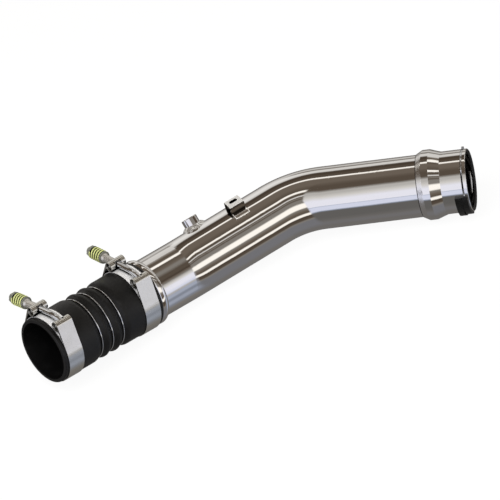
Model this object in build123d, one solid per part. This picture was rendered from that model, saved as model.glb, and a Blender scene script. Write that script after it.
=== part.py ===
from build123d import *
import math
import os

# Charge-air pipe: bent polished tube, hump hose with spring clamps at one end,
# quick coupler at the other. All lengths in mm, all angles in degrees.

os.makedirs("parts", exist_ok=True)

# Centreline of the tube
hose_leg = 186.2
middle_leg = 139.9
coupler_leg = 179.4
bend_radius = 85.0
small_bend = 12.0
large_bend = 35.4
bend_twist = 48.6

# Attitude of the pipe at rest on a flat floor
rest_roll = 7.62
rest_pitch = -3.44
rest_yaw = 9.4

# Main tube
tube_od = 63.5
tube_wall = 2.0
tube_grip = 31.0

# Hump hose
hose_wall = 3.75
hose_length = 129.6
hose_edge = 1.4
groove_depth = 3.3
groove_pitch = 14.1
groove_run = 8.2
ring_wire = 1.3

# Stop ring behind the hose
stop_width = 7.6
stop_rise = 3.75
stop_gap = 0.15

# Clamps
clamp_inset = 14.0
band_width = 19.05
band_play = 0.03
strap = 0.8
loop_rise = 6.4
loop_half_chord = 19.4
barrel_r = 4.15
barrel_play = 0.05
barrel_length = 14.6
bolt_d = 6.0
bolt_play = 0.15
bolt_dip = 8.5
arc_start = 2.0
bridge_half_angle = 54.0
bridge_width = 18.4
bridge_play = 0.05
fold_length = 15.0
sleeve_wall = 0.8
sleeve_end = 18.2
sleeve_flare = 1.1
sleeve_taper = 3.0
seat_thickness = 1.1
seat_r = 6.6
spring_od = 13.7
spring_wire = 2.3
spring_length = 16.0
spring_turns = 4.6
nut_flange = 1.2
nut_af = 11.0
nut_hex = 3.4
nut_collar = 2.6
nut_tip_r = 3.9
tip_proud = 0.4
front_clamp_turn = -3.0
rear_clamp_turn = 0.0

# Threaded port
port_at = 31.8
port_turn = -43.5
port_od = 16.8
port_bore = 8.7
port_drill = 10.2
port_rise = 10.45
port_edge = 0.5
weld_leg = 4.6
weld_rise = 3.4

# Bracket
bracket_at = 74.8
bracket_length = 16.3
bracket_width = 13.4
bracket_side = -5.7
bracket_rise = 8.05
bracket_sheet = 1.9
slot_length = 9.2
slot_width = 4.0
slot_side = -1.6

# Quick coupler, measured back from its open face
coupler_back = 51.7
chamfer_end = 45.5
collar_end = 38.1
taper_end = 26.9
coupler_rise = 0.25
collar_rise = 4.05
edge_break = 0.4
back_lip = 0.7
tube_play = 0.1
socket_depth = 17.7
spigot_wall = 2.7
seal_back = 21.0
seal_front = 9.0
seal_pocket = 1.3
seal_bite = 1.5
lip_depth = 1.9
lip_rim = 0.9
lip_stand = 0.3
lip_inset = 0.8
clip_at = 4.4
clip_wire = 1.8
clip_sink = 0.8
clip_turn = -42.8
clip_gap = 5.0
chord_half = 25.0
chord_middle = 95.0
clip_rise = 2.6
clip_hook = 1.6
clip_room = 0.2
block_back = 14.3
block_front = 1.6
block_rise = 3.4
block_from = 77.0
block_to = 152.0
block_slot_at = 7.9
block_slot_width = 1.0
block_slot_from = 112.0
block_slot_to = 138.0
block_step = 1.0


# Positions along the centreline
def turned(vector, axis, angle):
    return Vector(vector).rotate(Axis((0, 0, 0), axis), angle)


def frame(origin, along, up):
    return Plane(origin=origin, x_dir=up, z_dir=along)


corner_a = Vector(0, 0, 0)
corner_b = Vector(middle_leg, 0, 0)
along_middle = Vector(1, 0, 0)
up_middle = Vector(0, 0, 1)
lean = Vector(0, -math.cos(math.radians(bend_twist)), math.sin(math.radians(bend_twist)))
small_axis = Vector(-1, 0, 0).cross(lean)
along_hose = turned(along_middle, small_axis, small_bend)
up_hose = turned(up_middle, small_axis, small_bend)
along_coupler = turned(along_middle, (0, 0, 1), -large_bend)
mouth = corner_a - along_hose * hose_leg
outlet = corner_b + along_coupler * coupler_leg
hose_frame = frame(mouth, along_hose, up_hose)
middle_frame = frame(corner_a, along_middle, up_middle)
coupler_frame = frame(outlet, along_coupler, up_middle)

pieces = {}


def spun(points):
    # closed profile of (radius, height) pairs spun about the local Z axis
    wire = Polyline(*[(r, 0, z) for r, z in points], close=True)
    return revolve(make_face(wire), Axis.Z)


def pipe_bend(corner, before, after, radius):
    half = math.radians(before.get_angle(after)) / 2
    reach = radius * math.tan(half)
    inward = (after - before).normalized()
    middle = corner + inward * (radius / math.cos(half) - radius)
    return corner - before * reach, middle, corner + after * reach


# Main tube
tube_r = tube_od / 2
bore_r = tube_r - tube_wall
core_length = port_od + 2 * weld_leg + tube_r
tube_start = mouth + along_hose * (hose_length - tube_grip)
tube_stop = outlet - along_coupler * (coupler_back - socket_depth)
a_in, a_mid, a_out = pipe_bend(corner_a, along_hose, along_middle, bend_radius)
b_in, b_mid, b_out = pipe_bend(corner_b, along_middle, along_coupler, bend_radius)
first_run = Line(tube_start, a_in)
first_bend = ThreePointArc(a_in, a_mid, a_out)
second_run = Line(a_out, b_in)
second_bend = ThreePointArc(b_in, b_mid, b_out)
third_run = Line(b_out, tube_stop)
wall = Circle(tube_r) - Circle(bore_r)
straight_path = Wire([first_run.edge(), first_bend.edge(), second_run.edge()])
charge_tube = sweep(frame(tube_start, along_hose, up_hose) * wall, path=straight_path)
elbow_tube = sweep(frame(b_in, along_middle, up_middle) * wall, path=second_bend.edge())
outlet_tube = sweep(frame(b_out, along_coupler, up_middle) * wall, path=third_run.edge())

# Threaded port and its weld
port_top = tube_r + port_rise
port_station = middle_frame.location * Location((0, 0, port_at))
port_frame = port_station * Rotation(0, 0, port_turn) * Rotation(0, 90, 0)
on_base = (Align.CENTER, Align.CENTER, Align.MIN)
port_hole = port_frame * Cylinder(port_bore / 2, port_top + port_edge, align=on_base)
port_length = Cylinder(port_od / 2, port_top, align=on_base)
port_length = chamfer(port_length.edges().sort_by(Axis.Z)[-1], port_edge)
port_post = port_frame * port_length
tube_core = port_station * Cylinder(tube_r, core_length)
port_bung = port_post - tube_core - port_hole
joined = tube_core + port_post
saddle = [e for e in joined.edges() if e.geom_type not in (GeomType.CIRCLE, GeomType.LINE)]
welded = chamfer(saddle, weld_leg, weld_rise)
bung_weld = welded - tube_core - port_post
tube_hole = port_frame * Cylinder(port_drill / 2, port_top, align=on_base)
charge_tube = charge_tube - tube_hole

# Bracket over the top of the tube
sheet = bracket_sheet
bracket_height = tube_r + bracket_rise
outer_box = Box(bracket_height, bracket_width, bracket_length, align=(Align.MIN, Align.CENTER, Align.CENTER))
outer_box = fillet(outer_box.edges().filter_by(Axis.Z).group_by(Axis.X)[-1], sheet * 0.6)
inner_box = Box(
    bracket_height - sheet,
    bracket_width - 2 * sheet,
    bracket_length * 2,
    align=(Align.MIN, Align.CENTER, Align.CENTER),
)
slot = Location((bracket_height, slot_side, 0)) * Rotation(0, 90, 0) * extrude(
    SlotOverall(slot_length, slot_width), sheet * 2, both=True
)
bracket = outer_box - inner_box - slot
bracket_station = middle_frame.location * Location((0, 0, bracket_at))
bracket = bracket_station * Location((0, bracket_side, 0)) * bracket
bracket = bracket - bracket_station * Cylinder(tube_r, core_length)
bracket = bracket.solids().sort_by(Axis.Z)[-1]

# Hump hose
hose_r = tube_r + hose_wall
groove_middle = hose_length / 2
grooves = [groove_middle - groove_pitch, groove_middle, groove_middle + groove_pitch]
crests = [groove_middle - groove_pitch / 2, groove_middle + groove_pitch / 2]
valley_r = hose_r - groove_depth


def wavy(crest_radius, first_z, last_z):
    # side line of the hose: straight cuffs and two humps between three grooves
    low = crest_radius - groove_depth
    knots = [(crest_radius, 0, grooves[0] - groove_run)]
    knots.append((low, 0, grooves[0]))
    knots.append((crest_radius, 0, crests[0]))
    knots.append((low, 0, grooves[1]))
    knots.append((crest_radius, 0, crests[1]))
    knots.append((low, 0, grooves[2]))
    knots.append((crest_radius, 0, grooves[2] + groove_run))
    level = [(0, 0, 1)] * len(knots)
    wave = Spline(*knots, tangents=level)
    lower = Line((crest_radius, 0, first_z), knots[0])
    upper = Line(knots[-1], (crest_radius, 0, last_z))
    return lower, wave, upper


outside = wavy(hose_r, 0, hose_length)
inside = wavy(tube_r, 0, hose_length)
mouth_end = Line((tube_r, 0, 0), (hose_r, 0, 0))
tube_end = Line((tube_r, 0, hose_length), (hose_r, 0, hose_length))
outline = [*outside, *inside, mouth_end, tube_end]
section = make_face([line.edge() for line in outline])
hump_hose = revolve(section, Axis.Z)
rims = [e for e in hump_hose.edges().filter_by(GeomType.CIRCLE) if abs(e.radius - hose_r) < 0.01]
ends = [e for e in rims if e.center().Z < 0.01 or e.center().Z > hose_length - 0.01]
hump_hose = fillet(ends, hose_edge)
hump_hose = hose_frame.location * hump_hose

ring_centre = valley_r + ring_wire / 2
hose_rings = []
for height in grooves:
    hoop = Location((0, 0, height)) * Torus(ring_centre, ring_wire / 2)
    hose_rings.append(hose_frame.location * hoop)

# Stop ring
stop_from = hose_length + stop_gap
half = stop_width / 2
crown = tube_r + stop_rise
shoulder = tube_r + stop_rise * 0.62
stop_profile = make_face(
    [
        Line((tube_r, 0, stop_from), (shoulder, 0, stop_from)).edge(),
        ThreePointArc(
            (shoulder, 0, stop_from), (crown, 0, stop_from + half), (shoulder, 0, stop_from + stop_width)
        ).edge(),
        Line((shoulder, 0, stop_from + stop_width), (tube_r, 0, stop_from + stop_width)).edge(),
        Line((tube_r, 0, stop_from + stop_width), (tube_r, 0, stop_from)).edge(),
    ]
)
stop_ring = hose_frame.location * revolve(stop_profile, Axis.Z)

# Clamp pieces, drawn with the bolt over local +X and the band centred on Z = 0
loop_r = barrel_r + barrel_play
eye_r = loop_r + strap
band_in = hose_r + band_play
band_out = band_in + strap
loop_reach = hose_r + loop_rise
loop_height = math.sqrt(loop_reach**2 - loop_half_chord**2)
loop_angle = math.degrees(math.asin(loop_half_chord / loop_reach))
touch_angle = loop_angle + math.degrees(math.acos((band_out - eye_r) / loop_reach))
dip = math.radians(bolt_dip)
bolt_way = Vector(-math.sin(dip), -math.cos(dip), 0)
head_eye = Vector(loop_height, loop_half_chord, 0)
nut_eye = Vector(loop_height, -loop_half_chord, 0)


def polar(radius, angle):
    return (radius * math.cos(math.radians(angle)), radius * math.sin(math.radians(angle)))


def flat_strip(normal_angle, inner, outer, eye, from_end, length):
    # straight strap between two distances from the axis, square to one radius
    normal = Vector(*polar(1, normal_angle), 0)
    sideways = Vector(-normal.Y, normal.X, 0) * (-1 if normal_angle > 0 else 1)
    end = eye.dot(sideways)
    start = from_end if from_end is not None else end - length
    corners = [
        normal * inner + sideways * start,
        normal * outer + sideways * start,
        normal * outer + sideways * end,
        normal * inner + sideways * end,
    ]
    return make_face(Polyline(*corners, close=True))


def wedge(from_angle, to_angle, radius):
    steps = 6
    rim = [polar(radius, from_angle + (to_angle - from_angle) * k / steps) for k in range(steps + 1)]
    return make_face(Polyline((0, 0), *rim, close=True))


open_wedge = wedge(-touch_angle, touch_angle, band_out * 2)
band_face = Circle(band_out) - Circle(band_in) - open_wedge
for side in (1, -1):
    eye = head_eye if side > 0 else nut_eye
    angle = side * touch_angle
    band_face += flat_strip(angle, band_in, band_out, eye, 0.0, 0)
    band_face += flat_strip(angle, band_in - strap, band_out, eye, None, fold_length)
    band_face += Pos(eye.X, eye.Y) * Circle(eye_r)
for eye in (head_eye, nut_eye):
    band_face -= Pos(eye.X, eye.Y) * Circle(loop_r)
band_solid = extrude(band_face, band_width / 2, both=True)

bolt_r = bolt_d / 2
hole_r = bolt_r + bolt_play
sleeve_r = hole_r + sleeve_wall
window = (sleeve_r + bolt_play) * 2
nut_slot = Box(window, eye_r * 5, window, align=(Align.CENTER, Align.CENTER, Align.CENTER))
nut_slot = Location((nut_eye.X, nut_eye.Y, 0)) * Rotation(0, 0, -bolt_dip) * nut_slot
head_window = 2 * (bolt_r + bolt_play * 2)
head_slot = Box(eye_r * 2.2, eye_r * 2, head_window, align=(Align.CENTER, Align.MAX, Align.CENTER))
head_slot = Location((head_eye.X, head_eye.Y, 0)) * head_slot
band_solid = band_solid - nut_slot - head_slot
band_solid = band_solid.solids().sort_by(SortBy.VOLUME)[-1]

bridge_r = hose_r + bridge_play
bridge_ring = Circle(bridge_r + strap) - Circle(bridge_r)
bridge_face = bridge_ring & wedge(-bridge_half_angle, bridge_half_angle, band_out * 2)
bridge_solid = extrude(bridge_face, bridge_width / 2, both=True)

# Curved T-bolt
arc_gap = loop_half_chord + arc_start
bend_point = nut_eye - bolt_way * (arc_gap / math.cos(dip))
sleeve_stop = sleeve_end
seat_stop = sleeve_stop + seat_thickness
spring_stop = seat_stop + spring_length
nut_stop = spring_stop + nut_flange + nut_hex + nut_collar
bolt_tip = nut_eye + bolt_way * (nut_stop + tip_proud)
straight = Line(bolt_tip, bend_point)
curve = TangentArc(bend_point, head_eye, tangent=-bolt_way)
tip_plane = Plane(origin=bolt_tip, z_dir=-bolt_way)
shank = sweep(tip_plane * Circle(bolt_r), path=Wire([straight.edge(), curve.edge()]))
head_barrel = Location((head_eye.X, head_eye.Y, 0)) * Cylinder(barrel_r, barrel_length)
t_bolt_solid = shank + head_barrel

# Pieces threaded on the bolt, drawn along local +Z from the trunnion centre
bolt_line = Plane(origin=nut_eye, x_dir=(0, 0, 1), z_dir=bolt_way).location
cross_barrel = Rotation(0, 90, 0) * Cylinder(barrel_r, barrel_length)
trunnion_solid = bolt_line * (cross_barrel - Cylinder(hole_r, eye_r * 3))
sleeve_solid = spun(
    [
        (hole_r, 0),
        (sleeve_r, 0),
        (sleeve_r, sleeve_stop - sleeve_taper),
        (sleeve_r + sleeve_flare, sleeve_stop),
        (hole_r, sleeve_stop),
    ]
)
sleeve_solid = bolt_line * (sleeve_solid - cross_barrel)
seat_solid = bolt_line * spun(
    [(hole_r, sleeve_stop), (seat_r, sleeve_stop), (seat_r, seat_stop), (hole_r, seat_stop)]
)
coil_r = (spring_od - spring_wire) / 2
pitch = spring_length / spring_turns
coil_path = Helix(pitch=pitch, height=spring_length, radius=coil_r)
coil_start = Plane(origin=coil_path @ 0, z_dir=coil_path % 0)
coil = sweep(coil_start * Circle(spring_wire / 2), path=coil_path, is_frenet=True)
coil_room = Cylinder(spring_od, spring_length, align=on_base)
coil = coil & coil_room
spring_solid = bolt_line * Location((0, 0, seat_stop)) * coil
flange = Cylinder(seat_r, nut_flange, align=on_base)
hexagon = extrude(RegularPolygon(nut_af / 2, 6, major_radius=False), nut_hex)
collar = Cone(nut_af / 2 - tip_proud, nut_tip_r, nut_collar, align=on_base)
nut_blank = flange + Location((0, 0, nut_flange)) * hexagon
nut_blank = nut_blank + Location((0, 0, nut_flange + nut_hex)) * collar
nut_blank = nut_blank - Cylinder(bolt_r, spring_length * 2)
nut_solid = bolt_line * Location((0, 0, spring_stop)) * nut_blank

clamp_kit = {
    "band": band_solid,
    "bridge": bridge_solid,
    "t_bolt": t_bolt_solid,
    "trunnion": trunnion_solid,
    "sleeve": sleeve_solid,
    "spring_seat": seat_solid,
    "spring": spring_solid,
    "nut": nut_solid,
}

# Quick coupler
back_r = tube_r + back_lip
coupler_r = tube_r + coupler_rise
collar_r = tube_r + collar_rise
spigot_r = coupler_r - spigot_wall
lip_outer_r = coupler_r - lip_rim
clip_r = coupler_r - clip_sink
block_r = coupler_r + block_rise
socket_r = tube_r + tube_play
groove_floor = clip_r - clip_wire / 2
pocket_r = spigot_r + seal_pocket
clip_half = clip_wire / 2
coupler_profile = [
    (socket_r, -coupler_back),
    (back_r, -coupler_back),
    (collar_r, -chamfer_end),
    (collar_r, -collar_end),
    (coupler_r, -taper_end),
    (coupler_r, -clip_at - clip_half),
    (groove_floor, -clip_at - clip_half),
    (groove_floor, -clip_at + clip_half),
    (coupler_r, -clip_at + clip_half),
    (coupler_r, -edge_break),
    (coupler_r - edge_break, 0),
    (lip_outer_r, 0),
    (lip_outer_r, -lip_depth),
    (spigot_r, -lip_depth),
    (spigot_r, -seal_front),
    (pocket_r, -seal_front),
    (pocket_r, -seal_back),
    (bore_r, -seal_back),
    (bore_r, -coupler_back + socket_depth),
    (socket_r, -coupler_back + socket_depth),
]
coupler_blank = spun(coupler_profile)
seal_r = spigot_r - seal_bite
rib = (seal_back - seal_front) / 6
seal_profile = [
    (pocket_r, -seal_back),
    (spigot_r, -seal_back),
    (seal_r, -seal_back + rib),
    (spigot_r, -seal_back + 2 * rib),
    (seal_r, -seal_back + 3 * rib),
    (spigot_r, -seal_back + 4 * rib),
    (seal_r, -seal_back + 5 * rib),
    (spigot_r, -seal_front),
    (pocket_r, -seal_front),
]
seal_blank = spun(seal_profile)
lip_profile = [
    (lip_outer_r, -lip_depth),
    (lip_outer_r, lip_stand),
    (lip_outer_r - lip_rim, lip_stand),
    (spigot_r - lip_inset, -lip_depth + lip_inset / 2),
    (spigot_r - lip_inset, -lip_depth),
]
lip_blank = spun(lip_profile)

# Spring wire clip: outer arcs, two chords through the wall and a hooked pair of ends
right_chord = (chord_middle - chord_half, chord_middle + chord_half)
far_side = 360 - chord_middle
left_chord = (far_side - chord_half, far_side + chord_half)


def on_clip(angle, radius=clip_r):
    x, y = polar(radius, angle)
    return Vector(x, y, 0)


def clip_arc(first, last):
    return ThreePointArc(on_clip(first), on_clip((first + last) / 2), on_clip(last)).edge()


def clip_end(angle, side):
    foot = on_clip(angle)
    top = on_clip(angle, clip_r + clip_rise)
    over = top + on_clip(angle + 90, 1.0) * side
    return foot, top, over


hook_a = clip_end(clip_gap, clip_hook)
hook_b = clip_end(360 - clip_gap, -clip_hook)
chord_one = Line(on_clip(right_chord[0]), on_clip(right_chord[1])).edge()
chord_two = Line(on_clip(left_chord[0]), on_clip(left_chord[1])).edge()
clip_path = [
    Line(hook_a[2], hook_a[1]).edge(),
    Line(hook_a[1], hook_a[0]).edge(),
    clip_arc(clip_gap, right_chord[0]),
    chord_one,
    clip_arc(right_chord[1], left_chord[0]),
    chord_two,
    clip_arc(left_chord[1], 360 - clip_gap),
    Line(hook_b[0], hook_b[1]).edge(),
    Line(hook_b[1], hook_b[2]).edge(),
]
clip_blank = Sphere(clip_wire / 2).moved(Location(hook_a[2]))
for piece in clip_path:
    across = Plane(origin=piece @ 0, z_dir=piece % 0)
    clip_blank += sweep(across * Circle(clip_wire / 2), path=piece)
    clip_blank += Sphere(clip_wire / 2).moved(Location(piece @ 1))
clip_place = Location((0, 0, -clip_at)) * Rotation(0, 0, clip_turn)
clip_blank = clip_place * clip_blank
chord_depth = clip_r * math.cos(math.radians(chord_half)) - clip_wire / 2 - clip_room
window_length = 2 * math.sqrt(coupler_r**2 - chord_depth**2)
clip_window = Box(coupler_r, window_length, clip_wire, align=(Align.MIN, Align.CENTER, Align.CENTER))
for middle in (chord_middle, far_side):
    cutter = clip_place * Rotation(0, 0, middle) * Location((chord_depth, 0, 0)) * clip_window
    coupler_blank = coupler_blank - cutter

# Black lock block at the bottom of the coupler
block_ring = Cylinder(block_r, block_back - block_front) - Cylinder(coupler_r, block_back)
block_cut = Location((0, 0, -block_back)) * extrude(wedge(block_from, block_to, block_r * 2), block_back * 2)
block_ring = Location((0, 0, -(block_back + block_front) / 2)) * block_ring
lock_block = block_ring & block_cut
tunnel_outer = Cylinder(clip_r + (clip_wire + clip_room) / 2, clip_wire + clip_room)
tunnel_inner = Cylinder(clip_r - clip_wire, clip_wire * 2)
clip_tunnel = Location((0, 0, -clip_at)) * (tunnel_outer - tunnel_inner)
lock_block = lock_block - clip_tunnel
slot_depth = block_r - coupler_r + edge_break
slot_outer = Cylinder(block_r + edge_break, block_slot_width)
block_slot = slot_outer - Cylinder(block_r - slot_depth, block_slot_width)
slot_sector = extrude(wedge(block_slot_from, block_slot_to, block_r * 2), block_slot_width, both=True)
lock_block = lock_block - Location((0, 0, -block_slot_at)) * (block_slot & slot_sector)
step_height = block_slot_at - block_front
step_ring = Cylinder(block_r + edge_break, step_height) - Cylinder(block_r - block_step, step_height)
lock_block = lock_block - Location((0, 0, -block_front - step_height / 2)) * step_ring
lock_block = lock_block.solids().sort_by(SortBy.VOLUME)[-1]

# Gather every node under its name
pieces["charge_tube"] = charge_tube
pieces["elbow_tube"] = elbow_tube
pieces["outlet_tube"] = outlet_tube
pieces["hump_hose"] = hump_hose
for number, hoop in enumerate(hose_rings, 1):
    pieces["hose_ring_" + str(number)] = hoop
pieces["stop_ring"] = stop_ring
pieces["port_bung"] = port_bung
pieces["bung_weld"] = bung_weld
pieces["bracket"] = bracket
pieces["coupler_body"] = coupler_frame.location * coupler_blank
pieces["coupler_seal"] = coupler_frame.location * seal_blank
pieces["coupler_lip"] = coupler_frame.location * lip_blank
pieces["wire_clip"] = coupler_frame.location * clip_blank
pieces["lock_block"] = coupler_frame.location * lock_block
places = {
    "front": Location((0, 0, clamp_inset)) * Rotation(0, 0, front_clamp_turn),
    "rear": Location((0, 0, hose_length - clamp_inset)) * Rotation(0, 0, rear_clamp_turn),
}
for end, place in places.items():
    for node, solid in clamp_kit.items():
        pieces[node + "_" + end] = hose_frame.location * place * solid

# Lay the pipe on the floor: origin at the bottom centre of the whole pipe
lie = Rotation(0, 0, rest_yaw) * Rotation(rest_roll, rest_pitch, 0)
laid = {node: lie * shape for node, shape in pieces.items()}
room = Compound(children=[Compound(shape.solids()) for shape in laid.values()]).bounding_box()
centre = room.center()
seat = Location((-centre.X, -centre.Y, -room.min.Z))
placed = {node: seat * shape for node, shape in laid.items()}
for node, shape in placed.items():
    shape.label = node
    export_step(shape, "parts/" + node + ".step")
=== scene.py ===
# %% [markdown]
# # A polished charge-air pipe
# The solids of the pipe come ready made from CAD, so this file is about looks.
# It adds a camera, a pale floor, a studio that the metal can mirror, a material
# for every piece, and the small forms that CAD left plain: the coins of a weld, a
# brazed foot under the bracket, and the threads.

# %% Load the model
import math

import bmesh
import bpy
from mathutils import Matrix, Vector


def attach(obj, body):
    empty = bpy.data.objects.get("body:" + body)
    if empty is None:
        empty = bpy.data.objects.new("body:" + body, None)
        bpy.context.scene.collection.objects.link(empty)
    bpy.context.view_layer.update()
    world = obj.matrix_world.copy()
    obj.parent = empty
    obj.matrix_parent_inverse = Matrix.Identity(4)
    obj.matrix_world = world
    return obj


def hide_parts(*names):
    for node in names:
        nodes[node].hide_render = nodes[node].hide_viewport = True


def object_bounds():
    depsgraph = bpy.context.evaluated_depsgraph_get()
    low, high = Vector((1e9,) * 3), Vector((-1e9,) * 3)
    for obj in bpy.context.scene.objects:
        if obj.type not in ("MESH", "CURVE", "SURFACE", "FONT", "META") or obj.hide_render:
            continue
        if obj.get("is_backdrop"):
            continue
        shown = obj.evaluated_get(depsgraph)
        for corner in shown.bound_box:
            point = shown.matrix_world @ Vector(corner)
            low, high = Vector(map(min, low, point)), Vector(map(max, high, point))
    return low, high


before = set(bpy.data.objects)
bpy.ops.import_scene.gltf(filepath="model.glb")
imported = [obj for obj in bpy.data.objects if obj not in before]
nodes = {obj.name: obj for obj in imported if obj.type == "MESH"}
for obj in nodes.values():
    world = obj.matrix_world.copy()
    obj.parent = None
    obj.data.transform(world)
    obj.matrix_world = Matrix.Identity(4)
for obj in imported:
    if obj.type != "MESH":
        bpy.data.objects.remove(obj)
bpy.context.scene.view_settings.view_transform = "Standard"
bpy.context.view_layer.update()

# %% [markdown]
# ## Stations along the pipe
# Added detail has to sit exactly on the metal, so its place is read from the CAD
# solids. A flat face tells where a part points: its middle gives a position and its
# normal a direction. From those two a station is built, a small coordinate frame in
# which the detail can be drawn in plain millimetres. RUN is the way of the long
# straight middle of the tube.

# %% Read stations from the solids
MM = 0.001
TUBE_R = 31.75
MOUTH_TO_RING = 50.7
PORT_REACH = 42.2
RUN = Vector((0.986, 0.155, 0.059)).normalized()
SKY = Vector((0, 0, 1))


def middle_of(name):
    node = nodes[name]
    corners = [node.matrix_world @ Vector(corner) for corner in node.bound_box]
    return sum(corners, Vector()) / 8


def flat_end(name):
    # middle and outward direction of the widest flat face of a node
    node = nodes[name]
    turn = node.matrix_world.to_3x3()
    faces = {}
    for face in node.data.polygons:
        normal = (turn @ face.normal).normalized()
        spot = node.matrix_world @ face.center
        key = (*(round(c, 3) for c in normal), round(spot.dot(normal), 5))
        faces.setdefault(key, []).append((face.area, spot, normal))
    widest = max(faces.values(), key=lambda group: sum(area for area, _, _ in group))
    whole = sum(area for area, _, _ in widest)
    return sum((spot * area for area, spot, _ in widest), Vector()) / whole, widest[0][2]


def station(origin, way, up):
    # the z axis follows way and the x axis leans towards up
    z_axis = way.normalized()
    x_axis = (up - z_axis * up.dot(z_axis)).normalized()
    columns = Matrix((x_axis, z_axis.cross(x_axis), z_axis)).transposed().to_4x4()
    return Matrix.Translation(origin) @ columns


first_ring = middle_of("hose_ring_1")
hose_way = (middle_of("hose_ring_3") - first_ring).normalized()
outlet_way = (middle_of("coupler_seal") - middle_of("outlet_tube")).normalized()
HOSE = station(first_ring - hose_way * MOUTH_TO_RING * MM, hose_way, SKY)
port_face, port_way = flat_end("port_bung")
PORT = station(port_face - port_way * PORT_REACH * MM, port_way, -RUN)
BOLTS = {}
for end in ("front", "rear"):
    nut_face, spring_way = flat_end("nut_" + end)
    BOLTS[end] = station(nut_face, -spring_way, RUN)
    print(end, "nut seats at", [round(c * 1000, 1) for c in nut_face])
print("mouth at", [round(c * 1000, 1) for c in HOSE.translation])

# %% [markdown]
# ## The camera
# The photograph was taken from far away through a long lens, so parallel edges stay
# nearly parallel. A camera twenty metres off with a long focal length does the same.
# Three angles place it: how far round it stands, how high it looks down from, and
# how much it leans to the side. The middle of the hose's mouth then lands on the
# pixel that it has in the photograph.

# %% Long-lens camera
STAND = math.radians(-103.5)
HEIGHT = math.radians(33.75)
LEAN = math.radians(-15.4)
PICTURE = 500.0
MM_PER_PIXEL = 1.0105
MOUTH_PIXEL = (44.0, 351.0)
FILM_WIDTH = 36.0
DISTANCE = 20.0
MIDDLE_DEPTH = 0.05
TOWARD = Vector((math.cos(HEIGHT) * math.cos(STAND), math.cos(HEIGHT) * math.sin(STAND), math.sin(HEIGHT)))
level_right = SKY.cross(TOWARD).normalized()
RIGHT = level_right * math.cos(LEAN) + TOWARD.cross(level_right) * math.sin(LEAN)
UP = TOWARD.cross(RIGHT)
across = (PICTURE / 2 - MOUTH_PIXEL[0]) * MM_PER_PIXEL * MM
above = (MOUTH_PIXEL[1] - PICTURE / 2) * MM_PER_PIXEL * MM
target = HOSE.translation + RIGHT * across + UP * above
view_width = PICTURE * MM_PER_PIXEL * MM

camera_data = bpy.data.cameras.new("camera")
camera_data.sensor_width = FILM_WIDTH
camera_data.lens = FILM_WIDTH * DISTANCE / view_width
camera_data.clip_end = 100.0
camera = bpy.data.objects.new("camera", camera_data)
facing = Matrix((RIGHT, UP, TOWARD)).transposed().to_4x4()
camera.matrix_world = Matrix.Translation(target + TOWARD * (DISTANCE - MIDDLE_DEPTH)) @ facing
bpy.context.scene.collection.objects.link(camera)
bpy.context.scene.camera = camera
print("lens", round(camera_data.lens), "mm, looking down", round(math.degrees(HEIGHT), 1), "degrees")

# %% [markdown]
# ## Building materials in code
# A node material is a small graph. Three helpers keep the graphs short: one starts a
# material with a Principled shader, one adds a node, one joins sockets. Colours are
# written as people read them on screen, from 0 to 255, and turned into the linear
# values that the renderer needs.

# %% Node helpers


def tone(r, g, b):
    def linear(c):
        c = c / 255
        return c / 12.92 if c <= 0.04045 else ((c + 0.055) / 1.055) ** 2.4

    return (linear(r), linear(g), linear(b), 1.0)


def add(tree, kind, **settings):
    node = tree.nodes.new(kind)
    for name, value in settings.items():
        setattr(node, name, value)
    return node


def join(tree, *pairs):
    for start, end in pairs:
        tree.links.new(start, end)


def principled(name, **sockets):
    material = bpy.data.materials.new(name)
    material.use_nodes = True
    shader = material.node_tree.nodes["Principled BSDF"]
    for socket, value in sockets.items():
        shader.inputs[socket.replace("_", " ")].default_value = value
    return material, material.node_tree, shader


def dress(material, *names):
    for name in names:
        node = nodes[name]
        if not node.material_slots:
            node.data.materials.append(material)
        node.material_slots[0].link = "OBJECT"
        node.material_slots[0].material = material


print("mid grey 128 is", round(tone(128, 128, 128)[0], 3), "in linear light")

# %% [markdown]
# ## The floor
# A flat square carries the shadow. It is much larger than the view, so that its edge
# never shows. The metal shouldn't mirror a white page, because the real pipe stood in
# a room, so the floor is hidden from reflections. A mark on it tells the size measure
# at the end of this file that it is scenery and no part of the pipe.

# %% Floor plane
FLOOR_SIZE = 9.0
floor_mesh = bpy.data.meshes.new("floor")
floor_builder = bmesh.new()
bmesh.ops.create_grid(floor_builder, x_segments=1, y_segments=1, size=FLOOR_SIZE)
floor_builder.to_mesh(floor_mesh)
floor_builder.free()
floor = bpy.data.objects.new("floor", floor_mesh)
floor.visible_glossy = False
bpy.context.scene.collection.objects.link(floor)
floor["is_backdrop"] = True
print("floor", floor_mesh.name)

# %% [markdown]
# The picture needs a pure white page with a faint shadow. More light would bleach the
# object, so the floor shines by itself instead, but only for rays that show it to
# the eye, and is mixed with a little ordinary lit paint. The paint part is what goes
# darker in the shadow.

# %% White paint that keeps a soft shadow
PAINT_DULL = 0.88
PAINT_PALE = 0.93
GLOW = 1.05
GLOW_SHARE = 0.88

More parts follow.
